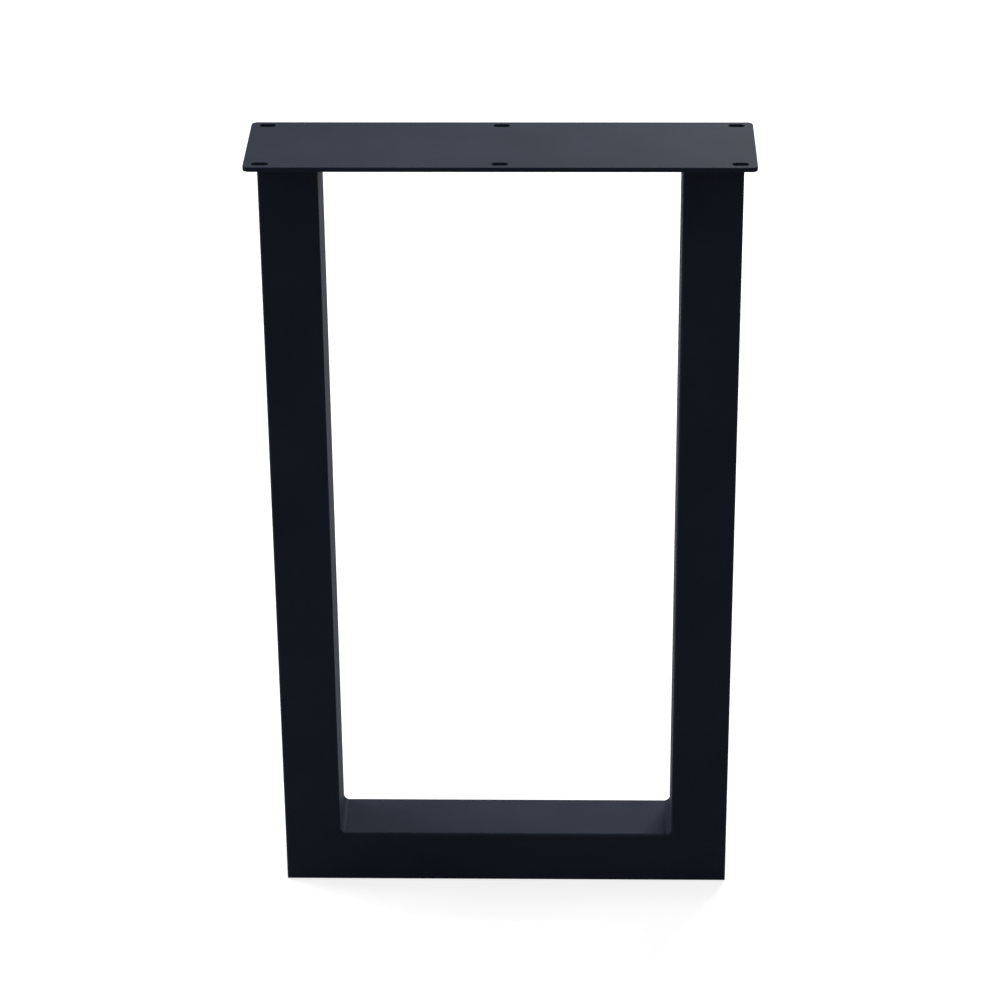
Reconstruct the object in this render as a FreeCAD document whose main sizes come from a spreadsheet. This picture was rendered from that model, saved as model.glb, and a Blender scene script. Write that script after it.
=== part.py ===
import FreeCAD, Part
import math
import operator
import os
import types

import Sketcher

# Welded U-shaped table leg in rectangular steel tube, in millimetres.
# The floor is Z = 0, +Z is up, X runs along the plate and the front is -Y.
# The origin is the middle of the footprint.
# Two uprights and a floor rail are mitred together, and a slotted plate is welded across the top.

SIZES = {
    # Frame
    "frame_width": 400,            # over the outer faces of the two uprights
    "overall_height": 710,         # floor to the top of the plate
    # Tube, the same for the uprights and the rail
    "tube_width": 50,              # seen from the front
    "tube_depth": 60,              # front to back
    "tube_wall": 2,
    "tube_outer_radius": 3,        # rolled long edges, outside
    "tube_inner_radius": 1,        # rolled long edges, inside
    "corner_easing": 1,            # radius ground on the outer edge of each mitred corner
    "saw_overrun": 5,              # how far each mitre cut runs past the tube
    # Plate
    "plate_end_overhang": 10,      # past the outer face of each upright
    "plate_depth": 100,            # front to back
    "plate_thickness": 4,
    "plate_corner_radius": 5,
    "plate_edge_radius": 0.6,      # sheared edges softened before coating
    "slot_length": 14,             # end to end, along X
    "slot_width": 6.5,
    "slot_end_inset": 14,          # slot centre to the short edge of the plate
    "slot_side_inset": 8,          # slot centre to the long edge of the plate
    # Welds
    "corner_weld_leg": 5,          # bead in the inner corner of upright and rail
    "corner_weld_axis": 7.5,       # axis of the bead's hollow face, measured from both tubes
    "plate_weld_leg": 4,           # bead round the top of each upright
    "plate_weld_toe": 0.4,         # blunt edge of that bead on the plate and on the tube
}
SLOT_COLUMNS = 3
SLOT_ROWS = 2
EASED_SHARE = 1 - math.sqrt(0.5)   # where a quarter round crosses the diagonal, as a share of its radius
NEAR = 1e-4                        # tolerance for picking edges

doc = FreeCAD.newDocument("u_table_leg")
sheet = doc.addObject("Spreadsheet::Sheet", "sizes")


class Length:
    """A length as a number and as the sheet formula that keeps it tied to the sizes."""

    def __init__(self, formula, value):
        self.formula = formula
        self.value = value

    def combined(self, sign, action, other):
        if isinstance(other, Length):
            return Length(f"({self.formula} {sign} {other.formula})", action(self.value, other.value))
        return Length(f"({self.formula} {sign} {other!r})", action(self.value, other))

    def __add__(self, other):
        return self.combined("+", operator.add, other)

    def __sub__(self, other):
        return self.combined("-", operator.sub, other)

    def __mul__(self, other):
        return self.combined("*", operator.mul, other)

    def __truediv__(self, other):
        return self.combined("/", operator.truediv, other)

    def __neg__(self):
        return self * -1


def fill_sheet():
    """Write one row per size and return the sizes as lengths by name."""
    lengths = types.SimpleNamespace()
    for row, (name, value) in enumerate(SIZES.items(), start=1):
        sheet.set(f"A{row}", name)
        sheet.set(f"B{row}", str(value))
        sheet.setAlias(f"B{row}", name)
        setattr(lengths, name, Length(f"sizes.{name}", value))
    doc.recompute()
    return lengths


size = fill_sheet()
zero = Length("0", 0)

# Sizes shared by several pieces
half_width = size.frame_width / 2
half_tube = size.tube_width / 2
half_depth = size.tube_depth / 2
plate_length = size.frame_width + size.plate_end_overhang * 2
plate_underside = size.overall_height - size.plate_thickness
upright_offset = half_width - half_tube
inner_face = half_width - size.tube_width


def make_body(label, x=zero, z=zero, turned=False):
    """An empty body placed at (x, 0, z), turned half round about Z for a right-hand piece."""
    body = doc.addObject("PartDesign::Body", label)
    body.Label = label
    if turned:
        body.Placement = FreeCAD.Placement(FreeCAD.Vector(), FreeCAD.Rotation(FreeCAD.Vector(0, 0, 1), 180))
    body.setExpression("Placement.Base.x", x.formula)
    body.setExpression("Placement.Base.z", z.formula)
    return body


def make_sketch(body, name, plane):
    """An empty sketch on one of the body's own origin planes."""
    sketch = body.newObject("Sketcher::SketchObject", f"{body.Name}_{name}")
    support = next(item for item in body.Origin.OriginFeatures if item.Role == plane)
    sketch.AttachmentSupport = [(support, "")]
    sketch.MapMode = "FlatFace"
    return sketch


def tie(sketch, kind, geometry, point, length):
    """Hold one coordinate of a sketch point to a length."""
    index = sketch.addConstraint(Sketcher.Constraint(kind, -1, 1, geometry, point, length.value))
    sketch.setExpression(f"Constraints[{index}]", length.formula)


def add_outline(sketch, corners, arcs=None):
    """Add a closed loop through corners, with an arc about a given centre on the sides named in arcs."""
    arcs = arcs or {}
    points = [FreeCAD.Vector(x.value, y.value, 0) for x, y in corners]
    ends = []
    for side, first in enumerate(points):
        last = points[(side + 1) % len(points)]
        if side not in arcs:
            ends.append((sketch.addGeometry(Part.LineSegment(first, last)), 1, 2))
            continue
        centre_x, centre_y = arcs[side]
        centre = FreeCAD.Vector(centre_x.value, centre_y.value, 0)
        circle = Part.Circle(centre, FreeCAD.Vector(0, 0, 1), (first - centre).Length)
        anticlockwise = (first - centre).cross(last - centre).z > -NEAR
        start, stop = (first, last) if anticlockwise else (last, first)
        angles = [math.atan2(point.y - centre.y, point.x - centre.x) for point in (start, stop)]
        arc = sketch.addGeometry(Part.ArcOfCircle(circle, *angles))
        ends.append((arc, 1, 2) if anticlockwise else (arc, 2, 1))
        tie(sketch, "DistanceX", arc, 3, centre_x)
    for side, (geometry, begin, _) in enumerate(ends):
        before, _, end = ends[side - 1]
        sketch.addConstraint(Sketcher.Constraint("Coincident", before, end, geometry, begin))
        x, y = corners[side]
        tie(sketch, "DistanceX", geometry, begin, x)
        tie(sketch, "DistanceY", geometry, begin, y)


def add_rounded_rectangle(sketch, half_x, half_y, radius):
    """Add a rectangle about the sketch's origin, with rounded corners."""
    in_x = half_x - radius
    in_y = half_y - radius
    corners = [(-in_x, -half_y), (in_x, -half_y), (half_x, -in_y), (half_x, in_y),
               (in_x, half_y), (-in_x, half_y), (-half_x, in_y), (-half_x, -in_y)]
    arcs = {1: (in_x, -in_y), 3: (in_x, in_y), 5: (-in_x, in_y), 7: (-in_x, -in_y)}
    add_outline(sketch, corners, arcs)


def make_pad(body, sketch, length, symmetric=False):
    pad = body.newObject("PartDesign::Pad", f"{sketch.Name}_pad")
    pad.Profile = sketch
    pad.SideType = "Symmetric" if symmetric else "One side"
    pad.setExpression("Length", length.formula)
    doc.recompute()
    return pad


def make_pocket(body, sketch):
    """Cut right through, both ways from the sketch, and make sure that something was cut."""
    volume = body.Shape.Volume
    pocket = body.newObject("PartDesign::Pocket", f"{sketch.Name}_pocket")
    pocket.Profile = sketch
    pocket.Type = "ThroughAll"
    pocket.SideType = "Symmetric"
    doc.recompute()
    if not pocket.Shape.Volume < volume - NEAR:
        raise RuntimeError(f"{pocket.Name} cut nothing")
    return pocket


def edge_names(shape, wanted):
    return [f"Edge{number}" for number, edge in enumerate(shape.Edges, start=1) if wanted(edge)]


def make_tube(body, plane, half_x, half_y, length, symmetric):
    """A length of rectangular tube: its section, inside and out, padded along the plane's normal."""
    section = make_sketch(body, "section", plane)
    add_rounded_rectangle(section, half_x, half_y, size.tube_outer_radius)
    add_rounded_rectangle(section, half_x - size.tube_wall, half_y - size.tube_wall, size.tube_inner_radius)
    return make_pad(body, section, length, symmetric)


def make_mitre(body, place):
    """Saw a 45 degree mitre and ease its outer edge.

    place turns distances across the tube from its outer face, and along the tube from its end,
    into a point of the body's front view.
    """
    easing = size.corner_easing
    waste = size.saw_overrun
    beyond = size.tube_width + waste
    eased = easing * EASED_SHARE
    outline = [(zero, easing), (eased, eased), (beyond, beyond),
               (beyond, -waste), (-waste, -waste), (-waste, easing)]
    sketch = make_sketch(body, "mitre", "XZ_Plane")
    add_outline(sketch, [place(*point) for point in outline], {0: place(easing, easing)})
    return make_pocket(body, sketch)


def make_top_plate():
    """Flat plate with rounded corners, softened edges and a grid of slots running along X."""
    body = make_body("top_plate", z=plate_underside)
    outline = make_sketch(body, "outline", "XY_Plane")
    add_rounded_rectangle(outline, plate_length / 2, size.plate_depth / 2, size.plate_corner_radius)
    blank = make_pad(body, outline, size.plate_thickness)

    soft = body.newObject("PartDesign::Fillet", "top_plate_edges")
    soft.Base = (blank, edge_names(blank.Shape, lambda edge: edge.BoundBox.ZLength < NEAR))
    soft.setExpression("Radius", size.plate_edge_radius.formula)
    doc.recompute()

    slot_x = size.slot_end_inset - plate_length / 2
    slot_y = size.slot_side_inset - size.plate_depth / 2
    reach = (size.slot_length - size.slot_width) / 2
    half_slot = size.slot_width / 2
    slot = make_sketch(body, "slot", "XY_Plane")
    corners = [(slot_x - reach, slot_y - half_slot), (slot_x + reach, slot_y - half_slot),
               (slot_x + reach, slot_y + half_slot), (slot_x - reach, slot_y + half_slot)]
    add_outline(slot, corners, {1: (slot_x + reach, slot_y), 3: (slot_x - reach, slot_y)})
    cut = make_pocket(body, slot)

    grid = body.newObject("PartDesign::LinearPattern", "top_plate_slots")
    grid.Originals = [cut]
    grid.Direction = (slot, ["H_Axis"])
    grid.Occurrences = SLOT_COLUMNS
    grid.setExpression("Length", (-slot_x * 2).formula)
    grid.Direction2 = (slot, ["V_Axis"])
    grid.Occurrences2 = SLOT_ROWS
    grid.setExpression("Length2", (-slot_y * 2).formula)
    body.Tip = grid
    return body


def make_upright(label, x, turned):
    """Tube standing on its mitred foot, outer face to -X before it is turned."""
    body = make_body(label, x=x, turned=turned)
    make_tube(body, "XY_Plane", half_tube, half_depth, plate_underside, symmetric=False)
    make_mitre(body, lambda across, along: (across - half_tube, along))
    return body


def make_floor_rail():
    """Tube lying along X with a mitre at each end."""
    body = make_body("floor_rail", z=half_tube)
    make_tube(body, "YZ_Plane", half_depth, half_tube, size.frame_width, symmetric=True)
    left = make_mitre(body, lambda across, along: (along - half_width, across - half_tube))
    both = body.newObject("PartDesign::Mirrored", "floor_rail_mitres")
    both.Originals = [left]
    both.MirrorPlane = (left.Profile[0], ["V_Axis"])
    body.Tip = both
    return body


def make_corner_weld(label, x, turned):
    """Hollow-faced bead along the flat of the inner corner between upright and rail."""
    leg = size.corner_weld_leg
    axis = size.corner_weld_axis
    body = make_body(label, x=x, z=size.tube_width, turned=turned)
    section = make_sketch(body, "section", "XZ_Plane")
    add_outline(section, [(zero, zero), (leg, zero), (zero, leg)], {1: (axis, axis)})
    make_pad(body, section, size.tube_depth - size.tube_outer_radius * 2, symmetric=True)
    return body


def make_plate_weld(label, x):
    """Bead round the top of an upright, sloping from the plate to the tube."""
    leg = size.plate_weld_leg
    radius = size.tube_outer_radius
    body = make_body(label, x=x, z=plate_underside - leg)
    ring = make_sketch(body, "ring", "XY_Plane")
    add_rounded_rectangle(ring, half_tube + leg, half_depth + leg, radius + leg)
    add_rounded_rectangle(ring, half_tube, half_depth, radius)
    band = make_pad(body, ring, leg)

    def is_lower_outer(edge):
        middle = edge.valueAt((edge.FirstParameter + edge.LastParameter) / 2)
        outside = abs(middle.x) > half_tube.value + NEAR or abs(middle.y) > half_depth.value + NEAR
        return abs(edge.BoundBox.ZMax) < NEAR and outside

    slope = body.newObject("PartDesign::Chamfer", f"{label}_slope")
    slope.Base = (band, edge_names(band.Shape, is_lower_outer))
    slope.setExpression("Size", (leg - size.plate_weld_toe).formula)
    doc.recompute()
    return body


def check_document():
    """Stop if any object failed to build."""
    for item in doc.Objects:
        if "Invalid" in item.State or "Error" in item.State:
            raise RuntimeError(f"{item.Name} failed: {item.State}")


def export_pieces(pieces):
    """Write each piece to a file named after its label."""
    for piece in pieces:
        if piece.Shape.isNull() or not piece.Shape.isValid():
            raise RuntimeError(f"{piece.Label} has no valid shape")
    os.makedirs("parts", exist_ok=True)
    for piece in pieces:
        piece.Shape.exportStep(f"parts/{piece.Label}.step")
        print(f"{piece.Label}: {piece.Shape.Volume / 1000:.2f} cm3")


pieces = [make_top_plate(), make_floor_rail()]
for side, direction, turned in (("left", -1, False), ("right", 1, True)):
    pieces.append(make_upright(f"{side}_upright", upright_offset * direction, turned))
    pieces.append(make_corner_weld(f"{side}_corner_weld", inner_face * direction, turned))
    pieces.append(make_plate_weld(f"{side}_plate_weld", upright_offset * direction))
doc.recompute()
check_document()
export_pieces(pieces)
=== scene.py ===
"""Looks of the U-shaped table leg: satin black powder coat over a welded frame of steel tube.

Lengths are metres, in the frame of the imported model: X along the plate, front at -Y, Z up, floor at 0.
"""
import math

import bmesh
import bpy
from mathutils import Matrix, Vector, noise


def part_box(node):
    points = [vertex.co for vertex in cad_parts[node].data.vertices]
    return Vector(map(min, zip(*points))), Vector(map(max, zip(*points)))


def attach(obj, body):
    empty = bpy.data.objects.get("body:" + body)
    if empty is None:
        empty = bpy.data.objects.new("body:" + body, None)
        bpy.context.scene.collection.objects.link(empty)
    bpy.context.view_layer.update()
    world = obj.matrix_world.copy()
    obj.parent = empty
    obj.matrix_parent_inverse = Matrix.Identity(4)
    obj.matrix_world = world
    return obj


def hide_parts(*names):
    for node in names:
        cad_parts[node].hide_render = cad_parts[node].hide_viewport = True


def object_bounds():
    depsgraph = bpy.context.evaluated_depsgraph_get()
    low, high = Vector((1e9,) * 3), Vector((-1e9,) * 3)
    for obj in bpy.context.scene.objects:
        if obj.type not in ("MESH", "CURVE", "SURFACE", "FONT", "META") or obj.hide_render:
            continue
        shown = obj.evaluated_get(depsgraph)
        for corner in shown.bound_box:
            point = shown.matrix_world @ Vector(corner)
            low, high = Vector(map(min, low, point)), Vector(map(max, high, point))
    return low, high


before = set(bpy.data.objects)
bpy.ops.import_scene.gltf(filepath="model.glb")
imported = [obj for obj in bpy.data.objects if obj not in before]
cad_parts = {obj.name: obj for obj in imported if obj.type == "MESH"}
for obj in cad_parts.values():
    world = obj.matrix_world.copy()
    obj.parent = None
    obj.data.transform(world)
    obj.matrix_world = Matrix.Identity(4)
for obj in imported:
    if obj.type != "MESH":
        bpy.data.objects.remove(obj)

CAD_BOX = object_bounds()
BODY = "root"
SLOT = "black_powder_coat"
PLAIN_NODES = ("top_plate", "left_upright", "right_upright", "floor_rail")

# Camera: a long lens, looking down on the leg from a little right of its middle
CAMERA_PLACE = (0.0600, -2.6439, 1.7836)
CAMERA_TARGET = (-0.0032, 0.0, 0.3778)
CAMERA_ROLL = math.radians(0.487)
CAMERA_LENS_MM = 123.85
SENSOR_WIDTH_MM = 36.0

# Powder coat: near black with a slight blue cast, linear colours
COAT_DARK = (0.0120, 0.0151, 0.0240)
COAT_LIGHT = (0.0204, 0.0254, 0.0400)
COAT_IOR = 1.09
COAT_ROUGHNESS = (0.60, 0.72)
CLOUD_SIZE = 0.09              # slow changes in the film's thickness
CLOUD_DETAIL = 3.0
PEEL_SIZE = 0.0016             # orange peel
PEEL_HEIGHT = 0.00005
GRAIN_SIZE = 0.00045           # powder grain
GRAIN_HEIGHT = 0.00002
GRAIN_SHARE = 0.45             # of the colour's variation, the rest is cloud
FINE_DETAIL = 1.0              # of peel and grain
NOISE_LOW = 0.3                # most of a noise's values lie between these two
NOISE_HIGH = 0.7

# Weld beads: a row of overlapping ripples, bowed across the bead
RIPPLE_PITCH = 0.0019
RIPPLE_DEPTH = 0.00030
RIPPLE_BOW = 0.0009
RIPPLE_JITTER = 0.30           # in ripples
BEAD_STEP = 0.00035            # between the sections along a bead
SECTION_STEPS = 12
END_TAPER = 0.0022             # length of a bead's rounded end
END_LEAST = 0.02               # square of the smallest scale there
END_TURN = math.radians(62.0)  # how far a corner bead follows the tube's rounded corner
TURN_STEPS = 10
CORNER_HOLLOW = 0.17           # depth of the face, in legs
PLATE_HOLLOW = 0.04
TOE_WANDER = 0.14              # share of the leg by which the toes draw in and out
TOE_SINK = 0.00006
WANDER_SIZE = 0.009
WANDER_SHIFT = (7.3, 1.9, 4.1)  # so that the two toes wander apart
TUBE_CORNER_RADIUS = 0.003
ARC_STEPS = 14

# Stage and lights: name, place, width and height, power in watts
FLOOR_HALF = 8.0
FLOOR_DROP = 0.0004
FLOOR_COLOUR = (0.28, 0.28, 0.28)
FLOOR_GLOW = 0.80
WORLD_FILL = 0.28
LIT_POINT = (0.0, 0.0, 0.4)
OVERHEAD_LAMP = ("overhead", (0.6, 0.5, 6.0), (5.0, 4.0), 110.0)
BACK_LAMP = ("behind", (1.35, 3.6, 2.15), (1.6, 1.6), 226.0)
SIDE_LAMP = ("left_side", (-2.4, 0.9, 1.7), (1.4, 1.4), 85.0)


def new_material(name):
    """A material with an empty node tree and its output node."""
    material = bpy.data.materials.new(name)
    material.use_nodes = True
    tree = material.node_tree
    tree.nodes.clear()
    output = tree.nodes.new("ShaderNodeOutputMaterial")
    return material, tree, output


def add_noise(tree, size, detail, coordinate):
    """A noise texture whose features are about the given size in metres."""
    node = tree.nodes.new("ShaderNodeTexNoise")
    node.inputs["Scale"].default_value = 1.0 / size
    node.inputs["Detail"].default_value = detail
    tree.links.new(coordinate, node.inputs["Vector"])
    return node.outputs["Fac"]


def add_range(tree, value, low, high):
    """Maps the middle of a noise's range onto low to high."""
    node = tree.nodes.new("ShaderNodeMapRange")
    node.inputs["From Min"].default_value = NOISE_LOW
    node.inputs["From Max"].default_value = NOISE_HIGH
    node.inputs["To Min"].default_value = low
    node.inputs["To Max"].default_value = high
    tree.links.new(value, node.inputs["Value"])
    return node.outputs["Result"]


def add_blend(tree, first, second, share):
    """The given share of the second value in the first."""
    node = tree.nodes.new("ShaderNodeMix")
    node.data_type = "FLOAT"
    node.inputs["Factor"].default_value = share
    tree.links.new(first, node.inputs["A"])
    tree.links.new(second, node.inputs["B"])
    return node.outputs["Result"]


def add_bump(tree, height, distance, before=None):
    """A bump of the given depth in metres, on top of an earlier one."""
    node = tree.nodes.new("ShaderNodeBump")
    node.inputs["Strength"].default_value = 1.0
    node.inputs["Distance"].default_value = distance
    tree.links.new(height, node.inputs["Height"])
    if before is not None:
        tree.links.new(before, node.inputs["Normal"])
    return node.outputs["Normal"]


def make_powder_coat():
    """Satin black powder coat: cloudy film thickness, orange peel and fine grain."""
    material, tree, output = new_material(SLOT)
    shader = tree.nodes.new("ShaderNodeBsdfPrincipled")
    shader.inputs["IOR"].default_value = COAT_IOR
    place = tree.nodes.new("ShaderNodeTexCoord").outputs["Object"]
    cloud = add_noise(tree, CLOUD_SIZE, CLOUD_DETAIL, place)
    peel = add_noise(tree, PEEL_SIZE, FINE_DETAIL, place)
    grain = add_noise(tree, GRAIN_SIZE, FINE_DETAIL, place)
    ramp = tree.nodes.new("ShaderNodeValToRGB")
    ramp.color_ramp.elements[0].position = NOISE_LOW
    ramp.color_ramp.elements[0].color = (*COAT_DARK, 1.0)
    ramp.color_ramp.elements[1].position = NOISE_HIGH
    ramp.color_ramp.elements[1].color = (*COAT_LIGHT, 1.0)
    speckled = add_blend(tree, cloud, grain, GRAIN_SHARE)
    tree.links.new(speckled, ramp.inputs["Fac"])
    tree.links.new(ramp.outputs["Color"], shader.inputs["Base Color"])
    tree.links.new(add_range(tree, grain, *COAT_ROUGHNESS), shader.inputs["Roughness"])
    normal = add_bump(tree, peel, PEEL_HEIGHT)
    normal = add_bump(tree, grain, GRAIN_HEIGHT, normal)
    tree.links.new(normal, shader.inputs["Normal"])
    tree.links.new(shader.outputs["BSDF"], output.inputs["Surface"])
    return material


def add_seen_ray(tree):
    """1 for rays from the camera and for rays that show up in gloss or glass, otherwise 0."""
    path = tree.nodes.new("ShaderNodeLightPath")
    value = path.outputs["Is Camera Ray"]
    for name in ("Is Glossy Ray", "Is Transmission Ray"):
        larger = tree.nodes.new("ShaderNodeMath")
        larger.operation = "MAXIMUM"
        tree.links.new(value, larger.inputs[0])
        tree.links.new(path.outputs[name], larger.inputs[1])
        value = larger.outputs["Value"]
    return value


def make_floor():
    """A wide pale floor that reads as white and still takes the leg's shadow."""
    material, tree, output = new_material("pale_floor")
    paint = tree.nodes.new("ShaderNodeBsdfDiffuse")
    paint.inputs["Color"].default_value = (*FLOOR_COLOUR, 1.0)
    glow = tree.nodes.new("ShaderNodeEmission")
    scale = tree.nodes.new("ShaderNodeMath")
    scale.operation = "MULTIPLY"
    scale.inputs[1].default_value = FLOOR_GLOW
    tree.links.new(add_seen_ray(tree), scale.inputs[0])
    tree.links.new(scale.outputs["Value"], glow.inputs["Strength"])
    both = tree.nodes.new("ShaderNodeAddShader")
    tree.links.new(paint.outputs["BSDF"], both.inputs[0])
    tree.links.new(glow.outputs["Emission"], both.inputs[1])
    tree.links.new(both.outputs["Shader"], output.inputs["Surface"])
    low = CAD_BOX[0][2] - FLOOR_DROP
    corners = [(x * FLOOR_HALF, y * FLOOR_HALF, low) for x, y in ((-1, -1), (1, -1), (1, 1), (-1, 1))]
    mesh = bpy.data.meshes.new("floor")
    mesh.from_pydata(corners, [], [(0, 1, 2, 3)])
    mesh.materials.append(material)
    floor = bpy.data.objects.new("floor", mesh)
    bpy.context.scene.collection.objects.link(floor)


def make_world():
    """White where it is seen, and a soft even fill where it lights."""
    world = bpy.data.worlds.new("studio")
    world.use_nodes = True
    tree = world.node_tree
    tree.nodes.clear()
    output = tree.nodes.new("ShaderNodeOutputWorld")
    background = tree.nodes.new("ShaderNodeBackground")
    strength = tree.nodes.new("ShaderNodeMapRange")
    strength.inputs["To Min"].default_value = WORLD_FILL
    strength.inputs["To Max"].default_value = 1.0
    tree.links.new(add_seen_ray(tree), strength.inputs["Value"])
    tree.links.new(strength.outputs["Result"], background.inputs["Strength"])
    background.inputs["Color"].default_value = (1.0, 1.0, 1.0, 1.0)
    tree.links.new(background.outputs["Background"], output.inputs["Surface"])
    bpy.context.scene.world = world


def add_softbox(name, place, size, power):
    """A large rectangular lamp aimed at the leg."""
    lamp = bpy.data.lights.new(name, "AREA")
    lamp.shape = "RECTANGLE"
    lamp.size = size[0]
    lamp.size_y = size[1]
    lamp.energy = power
    thing = bpy.data.objects.new(name, lamp)
    thing.location = place
    aim = Vector(LIT_POINT) - Vector(place)
    thing.rotation_euler = aim.to_track_quat("-Z", "Y").to_euler()
    bpy.context.scene.collection.objects.link(thing)


def make_camera():
    """The photograph's view."""
    data = bpy.data.cameras.new("camera")
    data.sensor_fit = "HORIZONTAL"
    data.sensor_width = SENSOR_WIDTH_MM
    data.lens = CAMERA_LENS_MM
    camera = bpy.data.objects.new("camera", data)
    aim = Vector(CAMERA_TARGET) - Vector(CAMERA_PLACE)
    turn = aim.to_track_quat("-Z", "Y").to_matrix().to_4x4()
    camera.matrix_world = Matrix.Translation(CAMERA_PLACE) @ turn @ Matrix.Rotation(-CAMERA_ROLL, 4, "Z")
    bpy.context.scene.collection.objects.link(camera)
    bpy.context.scene.camera = camera


def corner_stations(node, side):
    """Root points and leg directions along a fillet weld in a lower corner, from front to back.

    Both ends follow the mitre over the tube's rounded corner.
    """
    low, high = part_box(node)
    inner_x = low[0] if side < 0 else high[0]
    count = round((high[1] - low[1]) / BEAD_STEP)
    turn = [END_TURN * i / TURN_STEPS for i in range(1, TURN_STEPS + 1)]
    path = [(low[1] - TUBE_CORNER_RADIUS * math.sin(a), a) for a in reversed(turn)]
    path += [(low[1] + (high[1] - low[1]) * i / count, 0.0) for i in range(count + 1)]
    path += [(high[1] + TUBE_CORNER_RADIUS * math.sin(a), a) for a in turn]
    stations = []
    for y, angle in path:
        fall = TUBE_CORNER_RADIUS * (1 - math.cos(angle))
        root = Vector((inner_x + side * fall, y, low[2] - fall))
        stations.append((root, Vector((0, 0, 1)), Vector((-side, 0, 0))))
    return stations, high[2] - low[2]


def ring_stations(node, tube):
    """Root points and leg directions round the top of a tube, under the plate."""
    low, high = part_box(tube)
    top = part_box(node)[1][2]
    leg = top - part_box(node)[0][2]
    radius = TUBE_CORNER_RADIUS
    outline = []
    turns = ((high, high, 0), (low, high, 1), (low, low, 2), (high, low, 3))
    for x_end, y_end, quarter in turns:
        inward_x = -radius if x_end is high else radius
        inward_y = -radius if y_end is high else radius
        centre = Vector((x_end[0] + inward_x, y_end[1] + inward_y, top))
        for i in range(ARC_STEPS + 1):
            angle = (quarter + i / ARC_STEPS) * math.pi / 2
            outward = Vector((math.cos(angle), math.sin(angle), 0))
            outline.append((centre + outward * radius, outward))
    stations = []
    for i, (point, outward) in enumerate(outline):
        following, next_outward = outline[(i + 1) % len(outline)]
        parts = max(1, round((following - point).length / BEAD_STEP))
        for k in range(parts):
            share = k / parts
            across = outward.lerp(next_outward, share).normalized()
            stations.append((point.lerp(following, share), Vector((0, 0, -1)), across))
    return stations, leg


def bead_section(root, leg_a, leg_b, leg, along, pitch, hollow, scale):
    """Points across a bead, from the toe on the first face to the toe on the second."""
    wander_a = 0.5 + 0.5 * noise.noise(root / WANDER_SIZE)
    wander_b = 0.5 + 0.5 * noise.noise(root / WANDER_SIZE + Vector(WANDER_SHIFT))
    size_a = leg * scale * (1 - TOE_WANDER * wander_a)
    size_b = leg * scale * (1 - TOE_WANDER * wander_b)
    jitter = RIPPLE_JITTER * noise.noise(root / (2 * RIPPLE_PITCH))
    outward = (leg_a + leg_b).normalized()
    points = []
    for k in range(SECTION_STEPS + 1):
        t = k / SECTION_STEPS
        fade = math.sin(math.pi * t)
        phase = (along + RIPPLE_BOW * (1 - 2 * t) ** 2) / pitch + jitter
        valley = 1 - abs(math.sin(math.pi * phase))
        sunk = hollow * leg * scale * fade + RIPPLE_DEPTH * valley * math.sqrt(fade) * scale
        point = root + leg_a * size_a * (1 - t) + leg_b * size_b * t
        points.append(point - outward * (sunk + TOE_SINK))
    points.append(root - outward * 2 * TOE_SINK)
    return points


def make_bead(name, node, stations, leg, hollow, closed, coat):
    """A rippled weld bead swept along its stations, in place of the plain one of the frame."""
    along = 0.0
    roots = [station[0] for station in stations]
    spacing = [(after - before).length for before, after in zip(roots, roots[1:])]
    if closed:
        spacing.append((roots[0] - roots[-1]).length)
    total = sum(spacing)
    pitch = total / round(total / RIPPLE_PITCH)
    vertices = []
    for i, (root, leg_a, leg_b) in enumerate(stations):
        scale = 1.0
        if not closed:
            from_end = min(along, total - along)
            short = max(0.0, 1 - from_end / END_TAPER)
            scale = math.sqrt(max(END_LEAST, 1 - short * short))
        vertices += bead_section(root, leg_a, leg_b, leg, along, pitch, hollow, scale)
        if i < len(spacing):
            along += spacing[i]
    ring = SECTION_STEPS + 2
    faces = []
    rows = len(stations) if closed else len(stations) - 1
    for i in range(rows):
        here = i * ring
        there = ((i + 1) % len(stations)) * ring
        for k in range(ring):
            after = (k + 1) % ring
            faces.append((here + k, here + after, there + after, there + k))
    if not closed:
        last = (len(stations) - 1) * ring
        faces.append(tuple(reversed(range(ring))))
        faces.append(tuple(range(last, last + ring)))
    mesh = bpy.data.meshes.new(name)
    mesh.from_pydata(vertices, [], faces)
    mesh.validate()
    fix_normals(mesh)
    mesh.polygons.foreach_set("use_smooth", [len(p.vertices) == 4 for p in mesh.polygons])
    mesh.materials.append(coat)
    bead = bpy.data.objects.new(name, mesh)
    bpy.context.scene.collection.objects.link(bead)
    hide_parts(node)
    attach(bead, BODY)


def fix_normals(mesh):
    """Turns every face of a closed mesh outwards."""
    work = bmesh.new()
    work.from_mesh(mesh)
    bmesh.ops.recalc_face_normals(work, faces=work.faces)
    work.to_mesh(mesh)
    work.free()


def make_welds(coat):
    """The four beads: two in the lower corners, two round the tops of the uprights."""
    for word, side in (("left", -1), ("right", 1)):
        node = word + "_corner_weld"
        stations, leg = corner_stations(node, side)
        make_bead(word + "_corner_bead", node, stations, leg, CORNER_HOLLOW, False, coat)
        node = word + "_plate_weld"
        stations, leg = ring_stations(node, word + "_upright")
        make_bead(word + "_plate_bead", node, stations, leg, PLATE_HOLLOW, True, coat)


def main():
    bpy.context.scene.view_settings.view_transform = "Standard"
    coat = make_powder_coat()
    for name in PLAIN_NODES:
        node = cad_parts[name]
        node.data.materials.clear()
        node.data.materials.append(coat)
    make_welds(coat)
    make_floor()
    make_world()
    for lamp in (OVERHEAD_LAMP, BACK_LAMP, SIDE_LAMP):
        add_softbox(*lamp)
    make_camera()


main()
